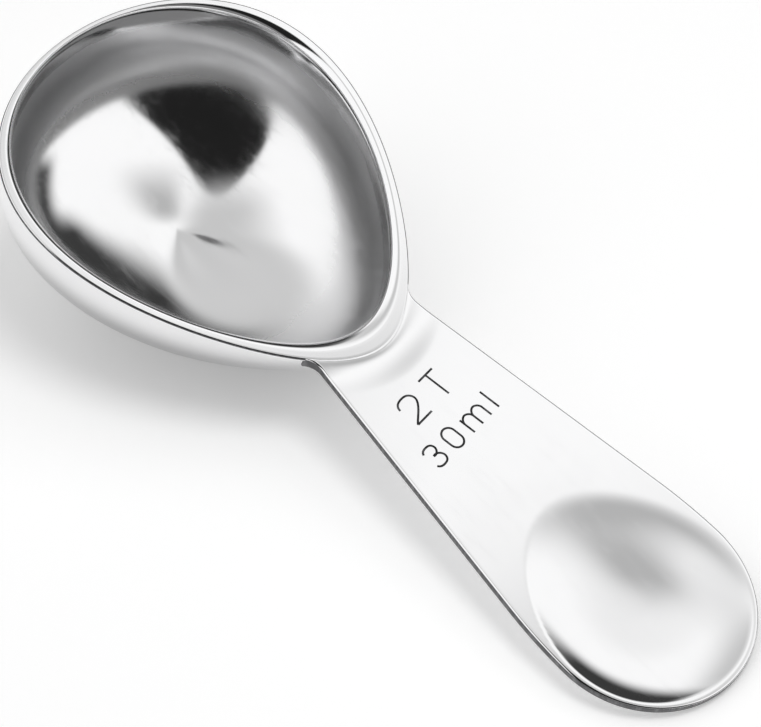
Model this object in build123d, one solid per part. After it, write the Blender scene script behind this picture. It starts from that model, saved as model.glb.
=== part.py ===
from build123d import *
from math import atan2, cos, pi, radians, sin, tan
import os

os.makedirs("parts", exist_ok=True)

# Bowl, in the rim's frame: x runs toward the handle, y across, z square to the rim's flat top at z = 0
bowl_length = 60.55
bowl_width = 49.18
bowl_depth = 20.53
bowl_toe_to_deepest = 23.96
bowl_floor = 1.264
bowl_taper_share = 0.32
bowl_pinch_share = 0.03
bowl_levels = 10
bowl_level_power = 1.5

# How a wall falls: powers that set how steep it starts and how flat it ends, and how far each end leans in
outer_wall_power = 0.88
outer_floor_power = 0.672
outer_foot_angle = 82.8
outer_nose_share = 0.39
outer_toe_share = -0.06
hollow_wall_power = 1.7
hollow_floor_power = 0.42
hollow_foot_angle = 70.9
hollow_nose_share = 0.6
hollow_toe_share = 0
outline_points = 24

# Rim: metal between the outside and the cavity's wall, and how much of it is flat on top
rim_toe = 0.948
rim_side = 1.579
rim_nose = 4.32
rim_flat_toe = 0.526
rim_flat_side = 0.737
rim_flat_nose = 2.001
rim_drop = 1.369
rim_edge_round = 0.263
round_levels = 5
cavity_taper_share = 0.24

# Handle, in its own frame: x runs from the bowl's nose to the tip, z = 0 is its top
sheet = 1.264
handle_length = 60.34
handle_rise = 5.95
handle_flare = 7.75
handle_edge_share = 0.6009
neck_width = 17.9
neck_round = 2.9
handle_root = 12.64
handle_edge_round = 0.316

# Thumb dish pressed into the round end
dish_length_share = 0.4956
dish_lip = 0.895
dish_depth = 1.264
dish_taper_share = 0.12
dish_centre_share = 0.15
dish_wall_power = 4
dish_levels = 6

# Capacity marks: single strokes, engraved across the handle and filled dark
mark_stroke = 0.295
mark_depth = 0.158
mark_slant = 7.0
mark_off_centre = 0.632
large_mark_height = 3.9
large_mark_width = 2.84
large_mark_gap = 2.21
large_mark_base = 10.58
small_mark_height = 3.16
small_mark_width = 2.001
small_mark_gap = 1.632
small_mark_base = 16.53

# Letters that differ from their row's width or height, as shares of it
mark_width_shares = {"m": 1.8, "l": 0}
mark_height_shares = {"m": 0.78}

# Points of each figure and letter, as shares of its width and height: curves, then straight strokes
mark_curve_shares = {
    "2": [[(0, 0.74), (0.14, 0.93), (0.5, 1), (0.86, 0.93), (1, 0.74), (0.8, 0.46), (0, 0)]],
    "3": [
        [(0, 0.84), (0.2, 0.97), (0.5, 1), (0.83, 0.94), (0.95, 0.76), (0.8, 0.58), (0.4, 0.53)],
        [(0.4, 0.53), (0.85, 0.46), (1, 0.26), (0.85, 0.06), (0.5, 0), (0.2, 0.03), (0, 0.16)],
    ],
    "m": [
        [(0, 0.6), (0.1, 0.9), (0.27, 1), (0.42, 0.9), (0.5, 0.6)],
        [(0.5, 0.6), (0.6, 0.9), (0.77, 1), (0.92, 0.9), (1, 0.6)],
    ],
}
mark_line_shares = {
    "2": [[(0, 0), (1, 0)]],
    "T": [[(0, 1), (1, 1)], [(0.5, 1), (0.5, 0)]],
    "m": [[(0, 1), (0, 0)], [(0.5, 0.6), (0.5, 0)], [(1, 0.6), (1, 0)]],
    "l": [[(0, 1), (0, 0)]],
}

# Small flats under the bowl and under the handle's end, where the spoon rests without rocking
rest_flat_depth = 0.1

# How finely positions are searched for
angle_step = 0.001
halvings = 30
steepest_tilt = 45


def egg(angle, start, end, width, taper_share):
    """One point of an egg outline from x = start to x = end; a positive taper narrows its end."""
    run = cos(angle)
    narrowing = 1 - taper_share * run - bowl_pinch_share * run**2
    return (start + end) / 2 + (end - start) / 2 * run, width / 2 * sin(angle) * narrowing


def egg_outline(start, end, width, taper_share):
    """Points evenly spaced in angle around an egg outline."""
    return [egg(2 * pi * i / outline_points, start, end, width, taper_share) for i in range(outline_points)]


def section(points, height):
    """A closed smooth face through points, at one height."""
    return make_face(Spline([(x, y, height) for x, y in points], periodic=True))


def sunk_levels(points, deepest_x, depth, wall_power, floor_power, foot_angle, nose_share, toe_share):
    """Levels of a bowl under an outline: steep walls, then a gently rounded floor with a small flat foot."""
    start_x = min(x for x, y in points)
    end_x = max(x for x, y in points)
    full_depth = depth / sin(radians(foot_angle)) ** floor_power
    levels = []
    for i in range(bowl_levels):
        down = radians(foot_angle) * (i / (bowl_levels - 1)) ** bowl_level_power
        size = cos(down) ** wall_power
        level = []
        for x, y in points:
            toward_end = max(x - deepest_x, 0) / (end_x - deepest_x)
            toward_start = max(deepest_x - x, 0) / (deepest_x - start_x)
            lean = nose_share * toward_end**2 + toe_share * toward_start**2
            level.append((deepest_x + (x - deepest_x) * size * (1 - lean * sin(down)), y * size))
        levels.append((level, full_depth * sin(down) ** floor_power))
    return levels


# Each wall's own values, in the order that sunk_levels takes them
outer_wall = (outer_wall_power, outer_floor_power, outer_foot_angle, outer_nose_share, outer_toe_share)
hollow_wall = (hollow_wall_power, hollow_floor_power, hollow_foot_angle, hollow_nose_share, hollow_toe_share)

# Outlines that the bowl, the rim and the handle share
toe_x = -bowl_length / 2
nose_x = bowl_length / 2
deepest_x = toe_x + bowl_toe_to_deepest
outside = egg_outline(toe_x, nose_x, bowl_width, bowl_taper_share)
cavity = egg_outline(toe_x + rim_toe, nose_x - rim_nose, bowl_width - 2 * rim_side, cavity_taper_share)
flat_taper_share = (bowl_taper_share + cavity_taper_share) / 2
flat_edge = egg_outline(
    toe_x + rim_flat_toe, nose_x - rim_flat_nose, bowl_width - 2 * rim_flat_side, flat_taper_share
)


def rim_edge():
    """The top of the bowl's outside, rounded along the rim's outer edge."""
    sections = []
    for i in range(round_levels):
        roll = pi / 2 * i / (round_levels - 1)
        inset = rim_edge_round * (1 - sin(roll))
        points = egg_outline(toe_x + inset, nose_x - inset, bowl_width - 2 * inset, bowl_taper_share)
        sections.append(section(points, -rim_edge_round * (1 - cos(roll))))
    return loft(sections)


def bowl_blank():
    """The bowl without its cavity."""
    levels = sunk_levels(outside, deepest_x, bowl_depth - rim_edge_round, *outer_wall)
    return rim_edge() + loft([section(points, -rim_edge_round - depth) for points, depth in levels])


def bowl_cavity():
    """The hollow, from the foot of the rim's rounding down to the floor."""
    levels = sunk_levels(cavity, deepest_x, bowl_depth - bowl_floor - rim_drop, *hollow_wall)
    return loft([section(points, -rim_drop - depth) for points, depth in levels])


def rim_rounding():
    """The mouth of the hollow, where the rim's flat rolls over into the cavity's wall."""
    sections = []
    for i in range(round_levels):
        roll = pi / 2 * i / (round_levels - 1)
        points = []
        for (flat_x, flat_y), (wall_x, wall_y) in zip(flat_edge, cavity):
            out = 1 - sin(roll)
            points.append((wall_x + (flat_x - wall_x) * out, wall_y + (flat_y - wall_y) * out))
        sections.append(section(points, -rim_drop * (1 - cos(roll))))
    return loft(sections)


def edge_half_width(x):
    """Half the handle's width on its straight edges."""
    return neck_width / 2 + x * tan(radians(handle_flare))


def end_radius():
    """The radius of the handle's round end, set by how far its straight edges run."""
    half_slope = tan(radians(handle_flare / 2))
    widening = handle_edge_share * tan(radians(handle_flare)) + (1 - handle_edge_share) * half_slope
    return (neck_width / 2 + handle_length * widening) / (1 + half_slope)


def neck_corner():
    """Where the handle's edge meets the rim's outline, and the outline's direction there."""
    low = 0
    high = pi / 2
    for _ in range(halvings):
        angle = (low + high) / 2
        x, y = egg(angle, toe_x, nose_x, bowl_width, bowl_taper_share)
        if y < edge_half_width(x - nose_x):
            low = angle
        else:
            high = angle
    past_x, past_y = egg(angle + angle_step, toe_x, nose_x, bowl_width, bowl_taper_share)
    return x - nose_x, y, atan2(past_y - y, past_x - x)


def handle_plan():
    """The handle's outline seen from above, reaching in under the rim."""
    flare = radians(handle_flare)
    corner_x, corner_y, rim_direction = neck_corner()
    turn = pi + flare - rim_direction
    reach = neck_round * tan(turn / 2)
    rim_point = (corner_x + reach * cos(rim_direction), corner_y + reach * sin(rim_direction))
    neck_point = (corner_x + reach * cos(flare), corner_y + reach * sin(flare))
    blend_x = handle_edge_share * handle_length
    blend_point = (blend_x, edge_half_width(blend_x))
    end_point = (handle_length - end_radius(), end_radius())
    tip = (handle_length, 0)
    root = (-handle_root, 0)
    half = make_face(
        [
            Line(root, rim_point),
            TangentArc(neck_point, rim_point, tangent=(-cos(flare), -sin(flare))),
            Line(neck_point, blend_point),
            TangentArc(blend_point, end_point, tangent=(cos(flare), sin(flare))),
            TangentArc(end_point, tip, tangent=(1, 0)),
            Line(tip, root),
        ]
    )
    return half + mirror(half, Plane.XZ)


def dish_form(top):
    """The pressed dish as a solid that hangs from a height: steep at its edge, nearly flat inside."""
    dish_end = handle_length - dish_lip
    dish_length = dish_length_share * handle_length
    width = 2 * (end_radius() - dish_lip)
    outline = egg_outline(dish_end - dish_length, dish_end, width, -dish_taper_share)
    middle = dish_end - dish_length * (1 - dish_centre_share) / 2
    sections = []
    for i in range(dish_levels):
        size = 1 - i / dish_levels
        points = [(middle + (x - middle) * size, y * size) for x, y in outline]
        sections.append(section(points, top - dish_depth * (1 - size**dish_wall_power)))
    return loft(sections)


def mark_strokes(name, width, height):
    """The strokes of one figure or letter, standing on its base line."""
    lines = []
    for stroke in mark_curve_shares.get(name, []):
        lines.append(Spline([(x * width, y * height) for x, y in stroke]))
    for stroke in mark_line_shares.get(name, []):
        lines.append(Line([(x * width, y * height) for x, y in stroke]))
    return lines


def mark_fill(name, width, height):
    """The filled groove of one figure or letter."""
    if name == "0":
        ring = SlotOverall(height + mark_stroke, width + mark_stroke, rotation=90)
        ring -= SlotOverall(height - mark_stroke, width - mark_stroke, rotation=90)
        face = Pos(width / 2, height / 2) * ring
    else:
        face = Sketch() + [trace(line, line_width=mark_stroke) for line in mark_strokes(name, width, height)]
    return extrude(face, amount=-mark_depth)


def mark_row(names, width, height, gap, base):
    """One row of marks, centred on the handle, its letters' tops toward the bowl."""
    widths = [width * mark_width_shares.get(name, 1) for name in names]
    heights = [height * mark_height_shares.get(name, 1) for name in names]
    left = -(sum(widths) + gap * (len(names) - 1)) / 2
    fills = []
    row = Pos(base, -mark_off_centre) * Rot(0, 0, 90 + mark_slant)
    for name, own_width, own_height in zip(names, widths, heights):
        fills.append(row * Pos(left, 0) * mark_fill(name, own_width, own_height))
        left += own_width + gap
    return fills


def handle_plate():
    """The handle's flat plate with its dish, its long edges and its end rounded."""
    plate = extrude(handle_plan(), amount=-sheet)
    levels = plate.edges().group_by(Axis.Z)
    corner_x, corner_y, rim_direction = neck_corner()
    outer_edges = [edge for edge in levels[0] + levels[-1] if edge.center().X > corner_x]
    return fillet(outer_edges, handle_edge_round) + dish_form(-sheet) - dish_form(0)


# Build in the rim's frame; the handle's top passes through the bowl's nose and rises from there
blank = bowl_blank()
bowl = blank - bowl_cavity() - rim_rounding()
large_marks = mark_row("2T", large_mark_width, large_mark_height, large_mark_gap, large_mark_base)
small_marks = mark_row("30ml", small_mark_width, small_mark_height, small_mark_gap, small_mark_base)
handle = handle_plate()
for fill in large_marks + small_marks:
    handle -= fill
seat = Pos(nose_x, 0) * Rot(0, -handle_rise, 0)
handle = seat * handle - blank


def lowest(shape, tilt):
    """The lowest height of a shape when the handle's end is tilted down."""
    return (Rot(0, tilt, 0) * shape).bounding_box().min.Z


def resting_tilt():
    """The tilt at which the bowl's underside and the handle's end touch one flat surface."""
    low = 0
    high = steepest_tilt
    for _ in range(halvings):
        tilt = (low + high) / 2
        if lowest(bowl, tilt) < lowest(handle, tilt):
            low = tilt
        else:
            high = tilt
    return (low + high) / 2


# Lay the spoon down as it rests, with the origin under the middle of its box
tilt = resting_tilt()
lying = Rot(0, tilt, 0)
box = (lying * Compound([bowl, handle])).bounding_box()
floor = box.min.Z + rest_flat_depth
place = Pos(-(box.min.X + box.max.X) / 2, -(box.min.Y + box.max.Y) / 2, -floor) * lying

nodes = {
    "bowl": split(place * bowl, bisect_by=Plane.XY, keep=Keep.TOP),
    "handle": split(place * handle, bisect_by=Plane.XY, keep=Keep.TOP),
    "capacity_mark_tablespoons": place * Compound([seat * fill for fill in large_marks]),
    "capacity_mark_millilitres": place * Compound([seat * fill for fill in small_marks]),
}
for name, shape in nodes.items():
    export_step(shape, f"parts/{name}.step")

whole = Compound(list(nodes.values()))
print("tilt", round(tilt, 3), "place", place.position, "size", whole.bounding_box().size)
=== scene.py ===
"""A polished steel measuring spoon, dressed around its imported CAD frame."""

import logging
import math
from dataclasses import dataclass
from enum import Enum

import bmesh
import bpy
import numpy as np
from mathutils import Matrix, Quaternion, Vector


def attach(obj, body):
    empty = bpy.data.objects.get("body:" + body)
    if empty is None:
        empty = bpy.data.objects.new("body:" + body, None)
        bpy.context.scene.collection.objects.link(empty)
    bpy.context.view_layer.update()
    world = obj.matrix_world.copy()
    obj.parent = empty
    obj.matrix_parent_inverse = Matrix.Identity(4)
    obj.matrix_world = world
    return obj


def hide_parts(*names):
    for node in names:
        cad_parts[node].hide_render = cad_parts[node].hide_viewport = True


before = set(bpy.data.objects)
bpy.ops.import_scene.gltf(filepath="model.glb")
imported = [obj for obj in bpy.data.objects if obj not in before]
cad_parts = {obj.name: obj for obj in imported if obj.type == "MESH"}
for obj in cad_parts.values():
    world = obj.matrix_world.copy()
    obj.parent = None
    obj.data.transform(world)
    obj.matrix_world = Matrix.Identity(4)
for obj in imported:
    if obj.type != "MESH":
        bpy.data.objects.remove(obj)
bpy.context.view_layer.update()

MILLIMETRE = 0.001
JOIN_DISTANCE = 2e-6
QUARTER_TURN = math.pi / 2.0
PICTURE_WIDTH = 761
CAPACITY_MARKS = ("capacity_mark_tablespoons", "capacity_mark_millilitres")

Socket = bpy.types.NodeSocket
Span = tuple[float, float]
Triple = tuple[float, float, float]
Colour = tuple[float, float, float, float]

log = logging.getLogger("measuring_spoon")


class Slot(Enum):
    """The record's material slots that the new pieces fill."""

    BOWL = "bowl_steel"
    HANDLE = "handle_steel"


class Side(Enum):
    """The two long sides of the handle, as the sign of y."""

    RIGHT = 1.0
    LEFT = -1.0


class Face(Enum):
    """The two faces of the handle's sheet."""

    TOP = "top"
    UNDERSIDE = "underside"


def ease(share: np.ndarray) -> np.ndarray:
    """A share that starts and ends its climb from 0 to 1 softly."""
    held = np.clip(share, 0.0, 1.0)
    return held * held * (3.0 - 2.0 * held)


def with_height(plan: np.ndarray, height: np.ndarray) -> np.ndarray:
    """Points seen from above, each raised to its height."""
    return np.concatenate([plan, height[..., None]], axis=-1)


def arc_points(start: np.ndarray, heading: float, end: np.ndarray, steps: int) -> np.ndarray:
    """Points of the circular arc that leaves a point in a given direction and reaches another.

    Args:
        start: Where the arc starts.
        heading: Its direction there, in radians.
        end: Where the arc ends.
        steps: How many steps it is divided into.

    Returns:
        The points after the start, the last of them the end.
    """
    chord = end - start
    bend = math.atan2(chord[1], chord[0]) - heading
    bend = math.atan2(math.sin(bend), math.cos(bend))
    along = np.arange(1, steps + 1) / steps
    reach = np.hypot(*chord) * np.sin(bend * along) / math.sin(bend)
    angle = heading + bend * along
    return start + np.stack([reach * np.cos(angle), reach * np.sin(angle)], axis=-1)


def in_scene(name: str, data: bpy.types.ID) -> bpy.types.Object:
    """A new object at the scene's origin.

    Args:
        name: Its name.
        data: Its mesh, lamp or camera.

    Returns:
        The object.
    """
    made = bpy.data.objects.new(name, data)
    bpy.context.scene.collection.objects.link(made)
    return made


def quads(count: int, length: int, closed: bool) -> list[tuple[int, int, int, int]]:
    """The faces between neighbouring rows of points.

    Args:
        count: How many rows there are.
        length: How many points each row has.
        closed: Whether the last row is joined to the first.

    Returns:
        The numbers of each face's corners, row after row.
    """
    faces = []
    for row in range(count if closed else count - 1):
        here = row * length
        there = (row + 1) % count * length
        for step in range(length - 1):
            faces.append((here + step, here + step + 1, there + step + 1, there + step))
    return faces


def close_up(mesh: bpy.types.Mesh) -> None:
    """Joins the points that meet, fills what is open, turns the faces outward and smooths them.

    Args:
        mesh: The mesh, which is changed in place.
    """
    shell = bmesh.new()
    shell.from_mesh(mesh)
    bmesh.ops.remove_doubles(shell, verts=shell.verts, dist=JOIN_DISTANCE)
    bmesh.ops.holes_fill(shell, edges=shell.edges, sides=0)
    bmesh.ops.recalc_face_normals(shell, faces=shell.faces)
    for face in shell.faces:
        face.smooth = True
    shell.to_mesh(mesh)
    shell.free()


def skinned(
    name: str, rows: np.ndarray, place: Matrix, closed: bool, bands: tuple[tuple[int, int], ...]
) -> bpy.types.Object:
    """Skins rows of points with smooth quads and joins the points that meet.

    What would reach below the table is flattened there, as the CAD model's resting flats are.

    Args:
        name: The piece's name.
        rows: Points in millimetres, one row after another.
        place: Where the rows' frame lies in the CAD frame.
        closed: Whether the last row is joined to the first.
        bands: For each further material, its first step along a row and the step after its last.

    Returns:
        The piece, its object at the origin.
    """
    count, length = rows.shape[:2]
    faces = quads(count, length, closed)
    corners = [place @ Vector(point) for point in rows.reshape(-1, 3)]
    for corner in corners:
        corner.z = max(corner.z, 0.0)
    mesh = bpy.data.meshes.new(name)
    mesh.from_pydata(corners, [], faces)
    steps = np.arange(len(faces)) % (length - 1)
    chosen = np.zeros(len(faces), dtype=np.int32)
    for number, (first, after) in enumerate(bands, start=1):
        chosen[(steps >= first) & (steps < after)] = number
    mesh.polygons.foreach_set("material_index", chosen)
    close_up(mesh)
    return in_scene(name, mesh)


class Nodes:
    """Short ways to add and link the nodes of one tree."""

    def __init__(self, tree: bpy.types.NodeTree) -> None:
        """Starts with an emptied tree."""
        self.tree = tree
        tree.nodes.clear()

    def add(self, kind: str, inputs: dict | None = None, **settings: object) -> bpy.types.Node:
        """Adds a node.

        Args:
            kind: The node's type without the word ShaderNode.
            inputs: For each input's name or number, a value or the output to link.
            settings: The node's own settings.

        Returns:
            The node.
        """
        node = self.tree.nodes.new("ShaderNode" + kind)
        for name, value in settings.items():
            setattr(node, name, value)
        for name, value in (inputs or {}).items():
            if isinstance(value, Socket):
                self.tree.links.new(value, node.inputs[name])
            else:
                node.inputs[name].default_value = value
        return node

    def maths(self, operation: str, *values: object) -> Socket:
        """The result of one arithmetic step."""
        return self.add("Math", dict(enumerate(values)), operation=operation).outputs[0]

    def dot(self, vector: Socket, axis: Vector) -> Socket:
        """How far a vector reaches along an axis."""
        inputs = {0: vector, 1: tuple(axis)}
        return self.add("VectorMath", inputs, operation="DOT_PRODUCT").outputs["Value"]

    def ramp(self, value: Socket, levels: Span, start: float, end: float) -> Socket:
        """A value carried softly from one range to another.

        Args:
            value: What is carried over.
            levels: The values at which the change starts and ends.
            start: The result up to the first level.
            end: The result from the second level.

        Returns:
            The result.
        """
        low, high = levels
        inputs = {"Value": value, "From Min": low, "From Max": high, "To Min": start, "To Max": end}
        return self.add("MapRange", inputs, interpolation_type="SMOOTHSTEP").outputs[0]

    def mix(self, share: object, first: object, second: object) -> Socket:
        """A number between two others."""
        return self.add("Mix", {0: share, 2: first, 3: second}, data_type="FLOAT").outputs[0]

    def blend(self, share: Socket, first: Colour, second: Colour) -> Socket:
        """A colour between two others."""
        return self.add("Mix", {0: share, 6: first, 7: second}, data_type="RGBA").outputs[2]

    def bump(self, height: Socket, strength: float, distance: float) -> Socket:
        """The normals of a surface with fine relief, its distance in metres."""
        inputs = {"Height": height, "Strength": strength, "Distance": distance}
        return self.add("Bump", inputs).outputs[0]

    def coat(self, colour: Socket, roughness: Socket, normal: Socket, metallic: float) -> None:
        """Ends a material's tree with its shader.

        Args:
            colour: The colour.
            roughness: The roughness.
            normal: The normals.
            metallic: 1 for bare metal, 0 for paint.
        """
        inputs = {"Base Color": colour, "Roughness": roughness, "Normal": normal, "Metallic": metallic}
        self.add("OutputMaterial", {"Surface": self.add("BsdfPrincipled", inputs).outputs[0]})


def new_material(name: str) -> tuple[bpy.types.Material, Nodes]:
    """A new material and its emptied tree.

    Args:
        name: The material's name.

    Returns:
        The material and its nodes.
    """
    material = bpy.data.materials.new(name)
    material.use_nodes = True
    return material, Nodes(material.node_tree)


@dataclass(frozen=True)
class Grain:
    """A fine uneven pattern over a surface, its scale in waves per metre."""

    scale: float
    detail: float
    roughness: float = 0.5
    distortion: float = 0.0
    stretch: Triple = (1.0, 1.0, 1.0)

    def over(self, nodes: Nodes, place: Socket) -> Socket:
        """The pattern at each place of a surface.

        Args:
            nodes: The material's nodes.
            place: The place on the surface.

        Returns:
            A level from 0 to 1.
        """
        inputs = {
            "Vector": nodes.add("Mapping", {"Vector": place, "Scale": self.stretch}).outputs[0],
            "Scale": self.scale,
            "Detail": self.detail,
            "Roughness": self.roughness,
            "Distortion": self.distortion,
        }
        return nodes.add("TexNoise", inputs).outputs["Fac"]


@dataclass(frozen=True)
class Lay:
    """How the spoon lies: the rim's frame in the CAD frame, in degrees and millimetres."""

    tilt: float = 15.7957
    rim_centre: Triple = (-28.6991, 0.0, 19.8595)

    def rim(self) -> Matrix:
        """The rim's frame, in millimetres, set in the CAD frame, in metres."""
        turned = Matrix.Rotation(math.radians(self.tilt), 4, "Y")
        return Matrix.Scale(MILLIMETRE, 4) @ Matrix.Translation(self.rim_centre) @ turned


@dataclass(frozen=True)
class PolishedSteel:
    """Mirror-polished stainless steel: fine buffing lines, faint smears and a slight unevenness.

    Haze is a duller band on a steep wall. The painted shade is colour that darkens downward, a painted
    reflection of the floor's shadow under the bowl. Their spans are depths below the rim's plane, in
    millimetres.
    """

    name: str
    colour: Triple = (0.93, 0.93, 0.935)
    roughness: float = 0.05
    lines: Grain = Grain(900.0, detail=3.0, roughness=0.6, stretch=(0.03, 1.0, 1.0))
    line_levels: Span = (0.45, 0.8)
    line_roughness: float = 0.06
    line_height: float = 0.02
    smears: Grain = Grain(60.0, detail=4.0, roughness=0.55, distortion=0.4)
    smear_levels: Span = (0.42, 0.72)
    smear_roughness: float = 0.05
    smear_height: float = 0.2
    shade_levels: Span = (0.3, 0.8)
    smear_shade: float = 0.985
    relief: float = 0.1
    relief_distance: float = 0.00004
    haze: float = 0.0
    haze_top: Span = (2.2, 5.0)
    haze_foot: Span = (11.0, 16.0)
    # Painted shade: the colour darkens downward, a painted reflection of the floor's shadow under the bowl.
    painted_shade: float = 0.0
    painted_shade_top: float = 0.05
    painted_shade_span: Span = (2.0, 13.0)

    def depth(self, nodes: Nodes, place: Socket, lay: Lay) -> Socket:
        """How far below the rim's plane the surface lies.

        Args:
            nodes: The material's nodes.
            place: The place on the surface.
            lay: How the spoon lies.

        Returns:
            The depth in millimetres.
        """
        rim = lay.rim()
        upward = rim.to_3x3().col[2].normalized()
        sunk = nodes.maths("SUBTRACT", rim.translation.dot(upward), nodes.dot(place, upward))
        return nodes.maths("DIVIDE", sunk, MILLIMETRE)

    def dullness(self, nodes: Nodes, lines: Socket, smears: Socket, depth: Socket) -> Socket:
        """The roughness that the lines, the smears and the haze make together.

        Args:
            nodes: The material's nodes.
            lines: The buffing lines.
            smears: The smears.
            depth: The depth below the rim's plane.

        Returns:
            The roughness.
        """
        smeared = nodes.ramp(smears, self.smear_levels, 0.0, self.smear_roughness)
        scratched = nodes.ramp(lines, self.line_levels, 0.0, self.line_roughness)
        rough = nodes.maths("ADD", nodes.maths("ADD", scratched, smeared), self.roughness)
        if self.haze:
            begun = nodes.ramp(depth, self.haze_top, 0.0, self.haze)
            band = nodes.maths("MULTIPLY", begun, nodes.ramp(depth, self.haze_foot, 1.0, 0.0))
            rough = nodes.maths("ADD", rough, band)
        return rough

    def shade(self, nodes: Nodes, smears: Socket, depth: Socket) -> Socket:
        """The colour that the smears leave, darkened downward by the painted shade.

        Args:
            nodes: The material's nodes.
            smears: The smears.
            depth: The depth below the rim's plane.

        Returns:
            The colour.
        """
        tint = nodes.ramp(smears, self.shade_levels, 1.0, self.smear_shade)
        if self.painted_shade:
            # Painted shade: the colour darkens with depth, in place of the floor's shadow seen in the
            # steel.
            left = nodes.ramp(depth, self.painted_shade_span, 1.0 - self.painted_shade_top, 1.0 - self.painted_shade)
            tint = nodes.maths("MULTIPLY", tint, left)
        return nodes.add("VectorMath", {0: self.colour, "Scale": tint}, operation="SCALE").outputs[0]

    def dress(self, piece: bpy.types.Object, lay: Lay) -> None:
        """Adds this finish as the piece's next material.

        Args:
            piece: The piece.
            lay: How the spoon lies.
        """
        material, nodes = new_material(self.name)
        place = nodes.add("TexCoord").outputs["Object"]
        lines = self.lines.over(nodes, place)
        smears = self.smears.over(nodes, place)
        depth = self.depth(nodes, place, lay)
        ridges = nodes.maths("MULTIPLY", lines, self.line_height)
        waves = nodes.maths("MULTIPLY", smears, self.smear_height)
        normal = nodes.bump(nodes.maths("ADD", ridges, waves), self.relief, self.relief_distance)
        rough = self.dullness(nodes, lines, smears, depth)
        nodes.coat(self.shade(nodes, smears, depth), rough, normal, metallic=1.0)
        piece.data.materials.append(material)


@dataclass(frozen=True)
class CutEdgeAndPaintedDark:
    """The sheet's sheared edge, duller than its polished faces, with fine shear lines; its near-black
    colour is painted shade, for the dark reflection that the edges show.
    """

    name: str = "cut_edge_and_painted_dark"
    # Near-black colours: painted shade standing in for the dark reflection along the edges; the shear lines
    # and dullness are the edge's own.
    dark: Colour = (0.1, 0.1, 0.103, 1.0)
    bright: Colour = (0.2, 0.2, 0.205, 1.0)
    lines: Grain = Grain(2500.0, detail=3.0, stretch=(1.0, 1.0, 0.06))
    line_levels: Span = (0.4, 0.75)
    line_roughness: float = 0.2
    roughness: float = 0.24
    relief: float = 0.2
    relief_distance: float = 0.00002

    def dress(self, piece: bpy.types.Object) -> None:
        """Adds this finish as the piece's next material.

        Args:
            piece: The piece.
        """
        material, nodes = new_material(self.name)
        lines = self.lines.over(nodes, nodes.add("TexCoord").outputs["Object"])
        colour = nodes.blend(nodes.ramp(lines, self.line_levels, 0.0, 1.0), self.dark, self.bright)
        rough = nodes.maths("ADD", nodes.maths("MULTIPLY", lines, self.line_roughness), self.roughness)
        nodes.coat(colour, rough, nodes.bump(lines, self.relief, self.relief_distance), metallic=1.0)
        piece.data.materials.append(material)


@dataclass(frozen=True)
class MarkFill:
    """Matt black fill in an engraved line, a little worn and grainy."""

    name: str = "mark_fill"
    fresh: Colour = (0.012, 0.012, 0.013, 1.0)
    worn: Colour = (0.13, 0.13, 0.135, 1.0)
    grain: Grain = Grain(4000.0, detail=2.0)
    grain_roughness: float = 0.3
    wear: Grain = Grain(700.0, detail=4.0)
    wear_levels: Span = (0.45, 0.75)
    roughness: float = 0.55
    relief: float = 0.3
    relief_distance: float = 0.00003

    def dress(self, node: bpy.types.Object) -> None:
        """Gives one of the CAD marks this finish.

        Args:
            node: The mark, as the frame holds it.
        """
        material, nodes = new_material(self.name)
        place = nodes.add("TexCoord").outputs["Object"]
        grain = self.grain.over(nodes, place)
        faded = nodes.ramp(self.wear.over(nodes, place), self.wear_levels, 0.0, 1.0)
        rough = nodes.maths("ADD", nodes.maths("MULTIPLY", grain, self.grain_roughness), self.roughness)
        normal = nodes.bump(grain, self.relief, self.relief_distance)
        nodes.coat(nodes.blend(faded, self.fresh, self.worn), rough, normal, metallic=0.0)
        if not node.material_slots:
            node.data.materials.append(material)
        for holder in node.material_slots:
            holder.material = material


@dataclass(frozen=True)
class Egg:
    """An egg-shaped outline in millimetres; a positive taper narrows the end at positive x."""

    start: float
    end: float
    width: float
    taper: float
    pinch: float = 0.03

    def points(self, turn: np.ndarray) -> np.ndarray:
        """Points of the outline.

        Args:
            turn: Angles in radians, 0 at the end with the greatest x.

        Returns:
            One x and y for each angle.
        """
        run = np.cos(turn)
        narrowing = 1.0 - self.taper * run - self.pinch * run**2
        x = (self.start + self.end) / 2.0 + (self.end - self.start) / 2.0 * run
        return np.stack([x, self.width / 2.0 * np.sin(turn) * narrowing], axis=-1)

    def inset(self, toe: float, nose: float, side: float, taper: float) -> "Egg":
        """A smaller outline inside this one.

        Args:
            toe: How far its start lies inside this one's.
            nose: How far its end lies inside.
            side: How far each side lies inside.
            taper: Its own taper.

        Returns:
            The smaller outline.
        """
        return Egg(self.start + toe, self.end - nose, self.width - 2.0 * side, taper, self.pinch)


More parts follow.
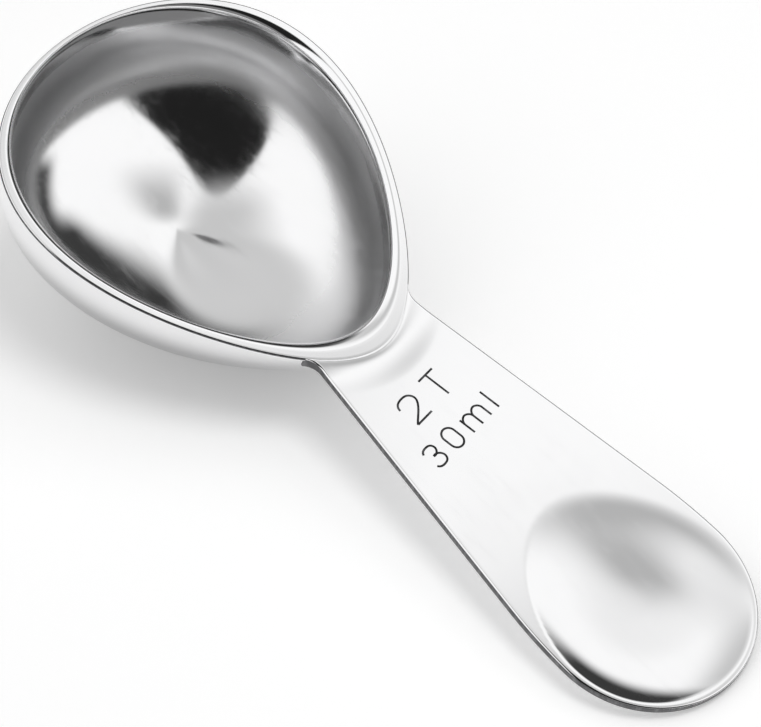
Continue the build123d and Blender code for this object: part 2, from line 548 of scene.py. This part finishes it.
@dataclass(frozen=True)
class Wall:
    """How a bowl's wall falls under its outline: steep at first, then round to a gentle floor.

    The deepest point's x is in millimetres and the foot's angle in degrees. The leans are shares of
    the way to the deepest point that the wall gains at the nose and at the toe.
    """

    deepest: float
    nose_lean: float
    toe_lean: float
    wall_power: float
    floor_power: float
    foot_angle: float

    def hung(self, outline: np.ndarray, top: float, down: np.ndarray, sink: np.ndarray) -> np.ndarray:
        """The wall that hangs from an outline.

        Args:
            outline: The outline's points.
            top: The height that it hangs from.
            down: How far each level has turned from the wall's top, in radians.
            sink: How deep each level lies.

        Returns:
            For each outline point, its points from the top level to the last.
        """
        x, y = outline[:, :1], outline[:, 1:]
        size = np.cos(down) ** self.wall_power
        toward_nose = np.maximum(x - self.deepest, 0.0) / (x.max() - self.deepest)
        toward_toe = np.maximum(self.deepest - x, 0.0) / (self.deepest - x.min())
        lean = self.nose_lean * toward_nose**2 + self.toe_lean * toward_toe**2
        level_x = self.deepest + (x - self.deepest) * size * (1.0 - lean * np.sin(down))
        return np.stack([level_x, y * size, np.broadcast_to(top - sink, level_x.shape)], axis=-1)

    def sink(self, down: np.ndarray, depth: float) -> np.ndarray:
        """How deep each level lies when the small flat foot lies at a depth."""
        full = depth / math.sin(math.radians(self.foot_angle)) ** self.floor_power
        return full * np.sin(down) ** self.floor_power

    def rounded_sink(self, down: np.ndarray, depth: float) -> np.ndarray:
        """The same, with the middle rounded off instead of flat.

        Args:
            down: How far each level has turned from the wall's top, in radians.
            depth: The depth that the small flat foot would have.

        Returns:
            How deep each level lies.
        """
        foot = math.cos(math.radians(self.foot_angle)) ** self.wall_power
        size = np.hypot(np.cos(down) ** self.wall_power * math.sqrt(1.0 - foot**2), foot)
        return self.sink(np.arccos(np.minimum(size, 1.0) ** (1.0 / self.wall_power)), depth)


@dataclass
class Bowl:
    """The egg-shaped bowl with its flat rim, in the rim's frame, in millimetres and degrees."""

    hollow_steel: PolishedSteel = PolishedSteel("bowl_steel", roughness=0.07, haze=0.28)
    # The outside's colour is painted darker downward, a painted reflection of the floor's shadow under the
    # bowl.
    outside_steel: PolishedSteel = PolishedSteel("outside_steel", roughness=0.12, painted_shade=0.6)
    cut_edge_and_painted_dark: CutEdgeAndPaintedDark = CutEdgeAndPaintedDark()
    outer: Wall = Wall(
        deepest=-6.315, nose_lean=0.39, toe_lean=-0.06, wall_power=0.88, floor_power=0.672, foot_angle=82.8
    )
    inner: Wall = Wall(
        deepest=-6.315, nose_lean=0.6, toe_lean=0.0, wall_power=1.7, floor_power=0.42, foot_angle=70.9
    )
    length: float = 60.55
    width: float = 49.18
    depth: float = 20.53
    floor: float = 1.264
    taper: float = 0.32
    foot_ease: float = 8.0
    cavity_taper: float = 0.24
    cavity_toe: float = 0.948
    cavity_nose: float = 4.32
    cavity_side: float = 1.579
    flat_toe: float = 0.526
    flat_nose: float = 2.001
    flat_side: float = 0.737
    rim_drop: float = 1.369
    edge_round: float = 0.263
    stations: int = 384
    wall_steps: int = 90
    wall_crowding: float = 1.6
    outer_round_steps: int = 10
    inner_round_steps: int = 20
    land_steps: int = 4
    edge_steps: int = 6

    def outside(self) -> Egg:
        """The rim's outer outline."""
        return Egg(-self.length / 2.0, self.length / 2.0, self.width, self.taper)

    def cavity(self) -> Egg:
        """The outline of the hollow, where its wall begins."""
        return self.outside().inset(self.cavity_toe, self.cavity_nose, self.cavity_side, self.cavity_taper)

    def flat_edge(self) -> Egg:
        """The outline at which the rim's flat top ends."""
        taper = (self.taper + self.cavity_taper) / 2.0
        return self.outside().inset(self.flat_toe, self.flat_nose, self.flat_side, taper)

    def levels(self) -> np.ndarray:
        """How far each level has turned from the wall's top to its middle, close together at the top."""
        return QUARTER_TURN * np.linspace(0.0, 1.0, self.wall_steps) ** self.wall_crowding

    def outer_wall(self, outline: np.ndarray) -> np.ndarray:
        """The outside of the bowl from under the rim's edge to the middle of its small flat foot.

        Args:
            outline: The points of the rim's outer outline.

        Returns:
            For each outline point, its points from the top down.
        """
        down = self.levels()
        reach = self.depth - self.edge_round
        sink = self.outer.sink(down, reach)
        foot = ease((np.degrees(down) - self.outer.foot_angle + self.foot_ease) / (2.0 * self.foot_ease))
        return self.outer.hung(outline, -self.edge_round, down, sink - np.maximum(sink - reach, 0.0) * foot)

    def inner_wall(self, outline: np.ndarray) -> np.ndarray:
        """The hollow's wall from the foot of the rim's rounding to its deepest point.

        Args:
            outline: The points of the hollow's outline.

        Returns:
            For each outline point, its points from the top down.
        """
        down = self.levels()
        sink = self.inner.rounded_sink(down, self.depth - self.floor - self.rim_drop)
        return self.inner.hung(outline, -self.rim_drop, down, sink)

    def outer_round(self, turn: np.ndarray) -> np.ndarray:
        """The rounding from the outer wall up to the rim's flat top.

        Args:
            turn: The stations' angles.

        Returns:
            Each station's points, from the wall up.
        """
        levels = []
        for roll in np.linspace(QUARTER_TURN, 0.0, self.outer_round_steps):
            inset = self.edge_round * (1.0 - math.sin(roll))
            outline = self.outside().inset(inset, inset, inset, self.taper).points(turn)
            height = -self.edge_round * (1.0 - math.cos(roll))
            levels.append(with_height(outline, np.full(len(turn), height)))
        return np.stack(levels, axis=1)

    def inner_round(self, turn: np.ndarray) -> np.ndarray:
        """The rounding from the rim's flat top over into the hollow.

        Args:
            turn: The stations' angles.

        Returns:
            Each station's points, from the flat top down.
        """
        flat = self.flat_edge().points(turn)
        wall = self.cavity().points(turn)
        levels = []
        for roll in np.linspace(0.0, QUARTER_TURN, self.inner_round_steps):
            outline = wall + (flat - wall) * (1.0 - math.sin(roll))
            height = -self.rim_drop * (1.0 - math.cos(roll))
            levels.append(with_height(outline, np.full(len(turn), height)))
        return np.stack(levels, axis=1)

    def rows(self) -> np.ndarray:
        """Every station's points: up the outside, over the rim and down the hollow.

        Returns:
            One row of points for each station.
        """
        turn = np.linspace(0.0, 2.0 * math.pi, self.stations, endpoint=False)
        outside = self.outer_wall(self.outside().points(turn))[:, ::-1]
        outer_round = self.outer_round(turn)
        inner_round = self.inner_round(turn)
        across = np.linspace(0.0, 1.0, self.land_steps + 1)[1:-1, None]
        land = outer_round[:, -1:] * (1.0 - across) + inner_round[:, :1] * across
        hollow = self.inner_wall(self.cavity().points(turn))
        return np.concatenate([outside[:, :-1], outer_round, land, inner_round[:, :-1], hollow], axis=1)

    def build(self, lay: Lay) -> bpy.types.Object:
        """Builds the bowl and gives it its finishes.

        Args:
            lay: How the spoon lies.

        Returns:
            The bowl, which stands for the CAD bowl.
        """
        wall_end = self.wall_steps - 1
        # Past the outside wall, the lower rounding of the rim's edge takes the cut edge's near-black
        # colour, a painted dark outline.
        bands = ((0, wall_end), (wall_end, wall_end + self.edge_steps))
        piece = skinned("polished_bowl", self.rows(), lay.rim(), closed=True, bands=bands)
        self.hollow_steel.dress(piece, lay)
        self.outside_steel.dress(piece, lay)
        self.cut_edge_and_painted_dark.dress(piece)
        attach(piece, "root")
        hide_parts("bowl")
        return piece


@dataclass
class Handle:
    """The short flat handle with its round, dished end, in its own frame, in millimetres and degrees.

    Its frame has x from the bowl's nose to the tip and z = 0 on its top.
    """

    bowl: Bowl
    steel: PolishedSteel = PolishedSteel("handle_steel")
    cut_edge_and_painted_dark: CutEdgeAndPaintedDark = CutEdgeAndPaintedDark()
    sheet: float = 1.264
    length: float = 60.34
    rise: float = 5.95
    flare: float = 7.75
    edge_share: float = 0.6009
    neck_width: float = 17.9
    neck_round: float = 2.9
    edge_round: float = 0.316
    dish_share: float = 0.4956
    dish_lip: float = 0.895
    dish_depth: float = 1.264
    dish_wall_power: float = 4.0
    dish_top_depth: float = 1.2
    dish_top_power: float = 4.0
    dish_soft_side: float = 128.0
    dish_taper: float = 0.12
    dish_centre: float = 0.15
    seam_overlap: float = 0.3
    seam_root: float = 1.6
    seam_reach: float = 5.0
    seam_dip: float = 0.05
    seam_dip_at: float = 0.8
    straighten: float = 12.0
    below_marks: float = 0.01
    step: float = 0.4
    across_steps: int = 44
    round_steps: int = 7
    edge_skip: int = 3
    neck_steps: int = 12
    blend_steps: int = 28
    corner_search_steps: int = 20001
    neck_search_turn: float = 0.5
    neck_search_steps: int = 2001
    seam_turn: float = 1.1
    seam_points: int = 700
    seam_batches: int = 20
    dish_points: int = 721

    def place(self, lay: Lay) -> Matrix:
        """Where the handle's frame lies.

        Args:
            lay: How the spoon lies.

        Returns:
            The frame, in millimetres, set in the CAD frame, in metres.
        """
        turned = Matrix.Rotation(math.radians(-self.rise), 4, "Y")
        return lay.rim() @ Matrix.Translation((self.bowl.length / 2.0, 0.0, 0.0)) @ turned

    def slope(self) -> float:
        """The edges' flare, in radians."""
        return math.radians(self.flare)

    def end_radius(self) -> float:
        """The radius of the round end, set by how far the straight edges run.

        Returns:
            The radius.
        """
        half_slope = math.tan(self.slope() / 2.0)
        widening = self.edge_share * math.tan(self.slope()) + (1.0 - self.edge_share) * half_slope
        return (self.neck_width / 2.0 + self.length * widening) / (1.0 + half_slope)

    def half_width(self, x: np.ndarray) -> np.ndarray:
        """Half the width on the straight edges."""
        return self.neck_width / 2.0 + x * math.tan(self.slope())

    def rim_points(self, turn: np.ndarray, inset: float) -> np.ndarray:
        """Points of the rim's outer outline, or inside it, in the handle's frame.

        Args:
            turn: Angles on the outline, in radians.
            inset: How far inside the outline they lie.

        Returns:
            One x and y for each angle.
        """
        outline = self.bowl.outside()
        points = outline.inset(inset, inset, inset, outline.taper).points(turn)
        x = (points[:, 0] - outline.end) / math.cos(math.radians(self.rise))
        return np.stack([x, points[:, 1]], axis=-1)

    def neck_turn(self) -> float:
        """The angle on the rim's outline at which the handle's straight edge would meet it.

        Returns:
            The angle, in radians.
        """
        turn = np.linspace(0.0, QUARTER_TURN, self.corner_search_steps)
        points = self.rim_points(turn, 0.0)
        return float(turn[np.argmax(points[:, 1] > self.half_width(points[:, 0]))])

    def edge(self) -> tuple[np.ndarray, float]:
        """The right-hand edge from the rim to the tip, seen from above.

        Returns:
            The edge's points, and the angle on the rim's outline at which it starts.
        """
        corner_turn = self.neck_turn()
        turns = np.linspace(corner_turn, corner_turn + self.neck_search_turn, self.neck_search_steps)
        outline = self.rim_points(turns, 0.0)
        corner = outline[0]
        heading = math.atan2(*(outline[1] - outline[0])[::-1])
        reach = self.neck_round * math.tan((math.pi + self.slope() - heading) / 2.0)
        start = int(np.argmin(np.abs(np.hypot(*(outline - corner).T) - reach)))
        neck_point = corner + reach * np.array([math.cos(self.slope()), math.sin(self.slope())])
        radius = self.end_radius()
        blend_x = self.edge_share * self.length
        blend_point = np.array([blend_x, self.half_width(blend_x)])
        centre_x = self.length - radius
        neck = arc_points(neck_point, self.slope() - math.pi, outline[start], self.neck_steps)[::-1]
        run = np.linspace(0.0, 1.0, int((blend_x - neck_point[0]) / self.step))[:, None]
        straight = neck_point + (blend_point - neck_point) * run
        blend = arc_points(blend_point, self.slope(), np.array([centre_x, radius]), self.blend_steps)
        turn = np.linspace(QUARTER_TURN, 0.0, int(radius * QUARTER_TURN / self.step))[1:, None]
        end = np.array([centre_x, 0.0]) + radius * np.hstack([np.cos(turn), np.sin(turn)])
        return np.vstack([neck, straight, blend, end]), float(turns[start])

    def seam_distance(self, plan: np.ndarray) -> np.ndarray:
        """How far points lie beyond the rim's outer outline.

        Args:
            plan: Points seen from above.

        Returns:
            The distance of each point.
        """
        outline = self.rim_points(np.linspace(-self.seam_turn, self.seam_turn, self.seam_points), 0.0)
        nearest = []
        for batch in np.array_split(plan.reshape(-1, 2), self.seam_batches):
            away = batch[:, None] - outline
            nearest.append(np.min(np.hypot(*away.transpose(2, 0, 1)), axis=1))
        return np.concatenate(nearest).reshape(plan.shape[:-1])

    def dish(self, plan: np.ndarray, face: Face, side: Side) -> np.ndarray:
        """How deep the thumb dish lies under points seen from above.

        On the top its wall fades out softly toward the bowl and the right-hand edge.

        Args:
            plan: Points seen from above, all with a y of 0 or more.
            face: The face of the sheet.
            side: The side of the handle that the points are for.

        Returns:
            A depth for each point, 0 outside the dish.
        """
        far = self.length - self.dish_lip
        long = self.dish_share * self.length
        outline = Egg(far - long, far, 2.0 * (self.end_radius() - self.dish_lip), -self.dish_taper)
        middle = far - long * (1.0 - self.dish_centre) / 2.0
        rim = outline.points(np.linspace(-math.pi, math.pi, self.dish_points)) - [middle, 0.0]
        angles = np.unwrap(np.arctan2(rim[:, 1], rim[:, 0]))
        offset = plan - [middle, 0.0]
        angle = np.arctan2(offset[..., 1], offset[..., 0])
        reach = np.interp(angle, angles, np.hypot(*rim.T), period=2.0 * math.pi)
        size = np.minimum(np.hypot(offset[..., 0], offset[..., 1]) / reach, 1.0)
        if face is Face.UNDERSIDE:
            return self.dish_depth * (1.0 - size**self.dish_wall_power)
        steep = 1.0 - size**self.dish_top_power
        gentle = (1.0 - size**2) ** 2
        soft_way = side.value * math.radians(self.dish_soft_side)
        toward_soft = ease(0.5 + 0.5 * size * np.cos(angle - soft_way))
        return self.dish_top_depth * (steep * (1.0 - toward_soft) + gentle * toward_soft)

    def top(self, plan: np.ndarray, side: Side) -> np.ndarray:
        """The height of the handle's top at points seen from above.

        Args:
            plan: Points seen from above, all with a y of 0 or more.
            side: The side of the handle that the points are for.

        Returns:
            A height for each point.
        """
        distance = self.seam_distance(plan)
        rim_height = -plan[..., 0] * math.tan(math.radians(self.rise))
        hold = 1.0 - ease(distance / self.seam_reach)
        dip = self.seam_dip * distance / self.seam_dip_at * np.exp(1.0 - distance / self.seam_dip_at)
        level = hold * rim_height - dip - self.below_marks * (1.0 - hold)
        return level - self.dish(plan, Face.TOP, side)

    def plan_rows(self, share: np.ndarray) -> np.ndarray:
        """Points seen from above, from the spine out to the right-hand edge, row after row.

        Args:
            share: The shares of the way from the spine to the edge.

        Returns:
            The rows, the first two of them under the rim.
        """
        edge, rim_turn = self.edge()
        seam = self.rim_points(share * rim_turn, 0.0)
        bulge_x = 1.0 - seam[:, 0] / edge[0, 0]
        spread_y = seam[:, 1] / edge[0, 1]
        centre_x = self.length - self.end_radius()
        rows = [self.rim_points(share * rim_turn, inset) for inset in (self.seam_root, self.seam_overlap)]
        for x, y in edge:
            if x > centre_x:
                rows.append(np.stack([centre_x + (x - centre_x) * share, y * share], axis=-1))
                continue
            hold = 1.0 - float(ease(np.array((x - edge[0, 0]) / self.straighten)))
            shift = -edge[0, 0] * hold * bulge_x
            across = spread_y * hold + share * (1.0 - hold)
            rows.append(np.stack([x + shift, y * across], axis=-1))
        return np.array(rows)

    def side_rows(self, side: Side) -> np.ndarray:
        """One side's rows: out over the top, round the edge and back under the sheet.

        Args:
            side: The side of the handle.

        Returns:
            The rows, from the bowl to the tip.
        """
        plan = self.plan_rows(np.linspace(0.0, 1.0, self.across_steps))
        spine, edge = plan[:, :1], plan[:, -1:]
        width = np.hypot(*(edge - spine)[:, 0].T)[:, None, None]
        level = spine + (plan - spine) * (1.0 - self.edge_round / width)
        level_edge = level[:, -1:]
        roll = np.linspace(0.0, QUARTER_TURN, self.round_steps + 1)[1:]
        outward = (edge - level_edge) * np.sin(roll)[:, None]
        fall = self.edge_round * (1.0 - np.cos(roll))
        top = with_height(level, self.top(level, side))
        # The first row is out of sight inside the bowl's rim
        top[0, :, 2] -= self.sheet / 2.0
        upper = with_height(level_edge + outward, top[:, -1:, 2] - fall)
        bottom = with_height(level, -self.sheet - self.dish(level, Face.UNDERSIDE, side))
        lower = with_height(level_edge + outward[:, ::-1], bottom[:, -1:, 2] + fall[::-1])
        rows = np.concatenate([top, upper, lower, bottom[:, ::-1]], axis=1)
        rows[..., 1] *= side.value
        return rows

    def build(self, lay: Lay) -> bpy.types.Object:
        """Builds the handle and gives it its finishes.

        Args:
            lay: How the spoon lies.

        Returns:
            The handle, which stands for the CAD handle.
        """
        right = self.side_rows(Side.RIGHT)
        left = self.side_rows(Side.LEFT)[::-1][1:]
        rows = np.concatenate([right, left])
        # The rounded long edges take the cut edge's near-black colour, painted shade for their dark
        # reflection.
        edge_start = self.across_steps + self.edge_skip
        edge_end = self.across_steps + 2 * self.round_steps - 1
        bands = ((edge_start, edge_end),)
        piece = skinned("polished_handle", rows, self.place(lay), closed=False, bands=bands)
        self.steel.dress(piece, lay)
        self.cut_edge_and_painted_dark.dress(piece)
        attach(piece, "root")
        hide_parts("handle")
        return piece


@dataclass(frozen=True)
class Panel:
    """A flat panel of the studio, seen from the spoon, in degrees."""

    azimuth: float
    elevation: float
    half_width: float
    half_height: float
    brightness: float
    soft: float
    roll: float = 0.0

    def cover(self, nodes: Nodes, direction: Socket) -> Socket:
        """How far the panel covers a direction, from 0 to 1.

        Args:
            nodes: The world's nodes.
            direction: The direction looked at.

        Returns:
            The cover.
        """
        around, up = math.radians(self.azimuth), math.radians(self.elevation)
        ahead = Vector((math.cos(around) * math.cos(up), math.sin(around) * math.cos(up), math.sin(up)))
        level = Vector((-math.sin(around), math.cos(around), 0.0))
        turned = Matrix.Rotation(math.radians(self.roll), 3, ahead)
        sides = ((turned @ level, self.half_width), (turned @ ahead.cross(level), self.half_height))
        depth = nodes.dot(direction, ahead)
        cover = nodes.maths("GREATER_THAN", depth, 0.0)
        for axis, half in sides:
            offset = nodes.maths("ARCTAN2", nodes.maths("ABSOLUTE", nodes.dot(direction, axis)), depth)
            border = (math.radians(half - self.soft / 2.0), math.radians(half + self.soft / 2.0))
            cover = nodes.maths("MULTIPLY", cover, nodes.ramp(offset, border, 1.0, 0.0))
        return cover


@dataclass(frozen=True)
class Studio:
    """A white studio with dark and grey panels round a pale floor, and one lamp for the shadow.

    A panel covers those before it. The lamp's power is in watts, the other sizes are in metres.
    """

    base: float = 1.03
    panels: tuple[Panel, ...] = (
        Panel(-37.5, 8.3, half_width=46.5, half_height=89.0, brightness=0.014, soft=4.0, roll=-3.2),
        Panel(-12.0, 5.0, half_width=76.0, half_height=28.0, brightness=0.21, soft=12.0),
        Panel(115.0, 24.0, half_width=26.0, half_height=19.0, brightness=0.04, soft=12.0),
        Panel(86.0, 8.0, half_width=26.0, half_height=22.0, brightness=0.05, soft=12.0),
        Panel(172.0, 6.0, half_width=56.0, half_height=16.0, brightness=0.03, soft=8.0),
        Panel(133.0, 64.0, half_width=9.0, half_height=20.0, brightness=0.6, soft=14.0),
        Panel(143.0, 42.0, half_width=9.0, half_height=10.0, brightness=0.62, soft=18.0),
        Panel(71.0, 65.0, half_width=7.0, half_height=7.0, brightness=0.48, soft=11.0),
    )
    floor_colour: float = 0.88
    floor_glow: float = 0.28
    floor_size: float = 3.0
    lamp_power: float = 0.6
    lamp_size: float = 0.2
    lamp_place: Triple = (0.05, 0.06, 0.46)

    def light_world(self) -> None:
        """Makes the white surroundings with their panels, which the camera sees as plain white."""
        world = bpy.data.worlds.new("studio")
        world.use_nodes = True
        bpy.context.scene.world = world
        nodes = Nodes(world.node_tree)
        direction = nodes.add("TexCoord").outputs["Generated"]
        level = self.base
        for panel in self.panels:
            level = nodes.mix(panel.cover(nodes, direction), level, panel.brightness)
        seen = nodes.add("LightPath").outputs["Is Camera Ray"]
        inputs = {"Color": (1.0, 1.0, 1.0, 1.0), "Strength": nodes.mix(seen, level, 1.0)}
        nodes.add("OutputWorld", {"Surface": nodes.add("Background", inputs).outputs[0]})

    def lay_floor(self) -> bpy.types.Object:
        """Lays the pale floor under the spoon, which looks a little brighter than it is lit.

        Returns:
            The floor.
        """
        half = self.floor_size / 2.0
        corners = [(-half, -half, 0.0), (half, -half, 0.0), (half, half, 0.0), (-half, half, 0.0)]
        mesh = bpy.data.meshes.new("floor")
        mesh.from_pydata(corners, [], [(0, 1, 2, 3)])
        floor = in_scene("floor", mesh)
        material, nodes = new_material("pale_floor")
        matt = nodes.add("BsdfDiffuse", {"Color": (self.floor_colour,) * 3 + (1.0,)})
        path = nodes.add("LightPath").outputs
        seen = path["Is Camera Ray"]
        for ray in ("Is Glossy Ray", "Is Transmission Ray"):
            seen = nodes.maths("ADD", seen, path[ray])
        strength = nodes.maths("MULTIPLY", nodes.maths("MINIMUM", seen, 1.0), self.floor_glow)
        glow = nodes.add("Emission", {"Strength": strength})
        both = nodes.add("AddShader", {0: matt.outputs[0], 1: glow.outputs[0]})
        nodes.add("OutputMaterial", {"Surface": both.outputs[0]})
        mesh.materials.append(material)
        return floor

    def hang_lamp(self) -> bpy.types.Object:
        """Hangs the soft lamp nearly overhead, turned to the spoon and unseen in the steel.

        Returns:
            The lamp.
        """
        data = bpy.data.lights.new("lamp", "AREA")
        data.shape = "DISK"
        data.size = self.lamp_size
        data.energy = self.lamp_power
        lamp = in_scene("lamp", data)
        lamp.location = self.lamp_place
        lamp.rotation_mode = "QUATERNION"
        lamp.rotation_quaternion = (-Vector(self.lamp_place)).to_track_quat("-Z", "Y")
        lamp.visible_glossy = False
        lamp.visible_camera = False
        return lamp

    def build(self) -> None:
        """Builds the whole studio."""
        self.light_world()
        self.lay_floor()
        self.hang_lamp()


@dataclass(frozen=True)
class Camera:
    """The camera at the photograph's angle, in degrees and millimetres.

    Its focal length is in the photograph's pixels, and near and far are in metres.
    """

    azimuth: float = 41.797
    elevation: float = 50.134
    roll: float = -3.916
    distance: float = 230.50
    target: Triple = (7.948, -8.635, 22.127)
    focal_pixels: float = 1917.0
    sensor: float = 36.0
    near: float = 0.01
    far: float = 20.0

    def build(self) -> bpy.types.Object:
        """Makes the camera and gives it to the scene.

        Returns:
            The camera.
        """
        around, up = math.radians(self.azimuth), math.radians(self.elevation)
        back = Vector((math.sin(around) * math.cos(up), -math.cos(around) * math.cos(up), math.sin(up)))
        data = bpy.data.cameras.new("camera")
        data.sensor_width = self.sensor
        data.lens = self.focal_pixels * self.sensor / PICTURE_WIDTH
        data.clip_start = self.near
        data.clip_end = self.far
        camera = in_scene("camera", data)
        camera.location = (Vector(self.target) + back * self.distance) * MILLIMETRE
        camera.rotation_mode = "QUATERNION"
        level = (-back).to_track_quat("-Z", "Y")
        camera.rotation_quaternion = level @ Quaternion((0.0, 0.0, 1.0), math.radians(-self.roll))
        bpy.context.scene.camera = camera
        return camera


def main() -> None:
    """Builds the camera, the studio and the spoon in order, and gives the capacity marks their finish."""
    logging.basicConfig(level=logging.INFO, format="%(message)s")
    bpy.context.scene.view_settings.view_transform = "Standard"
    Camera().build()
    log.info("camera")
    Studio().build()
    log.info("studio")
    lay = Lay()
    bowl = Bowl()
    for part in (bowl, Handle(bowl)):
        log.info("piece %s", part.build(lay).name)
    for mark in CAPACITY_MARKS:
        MarkFill().dress(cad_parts[mark])
        log.info("finish of %s", mark)


if __name__ == "__main__":
    main()
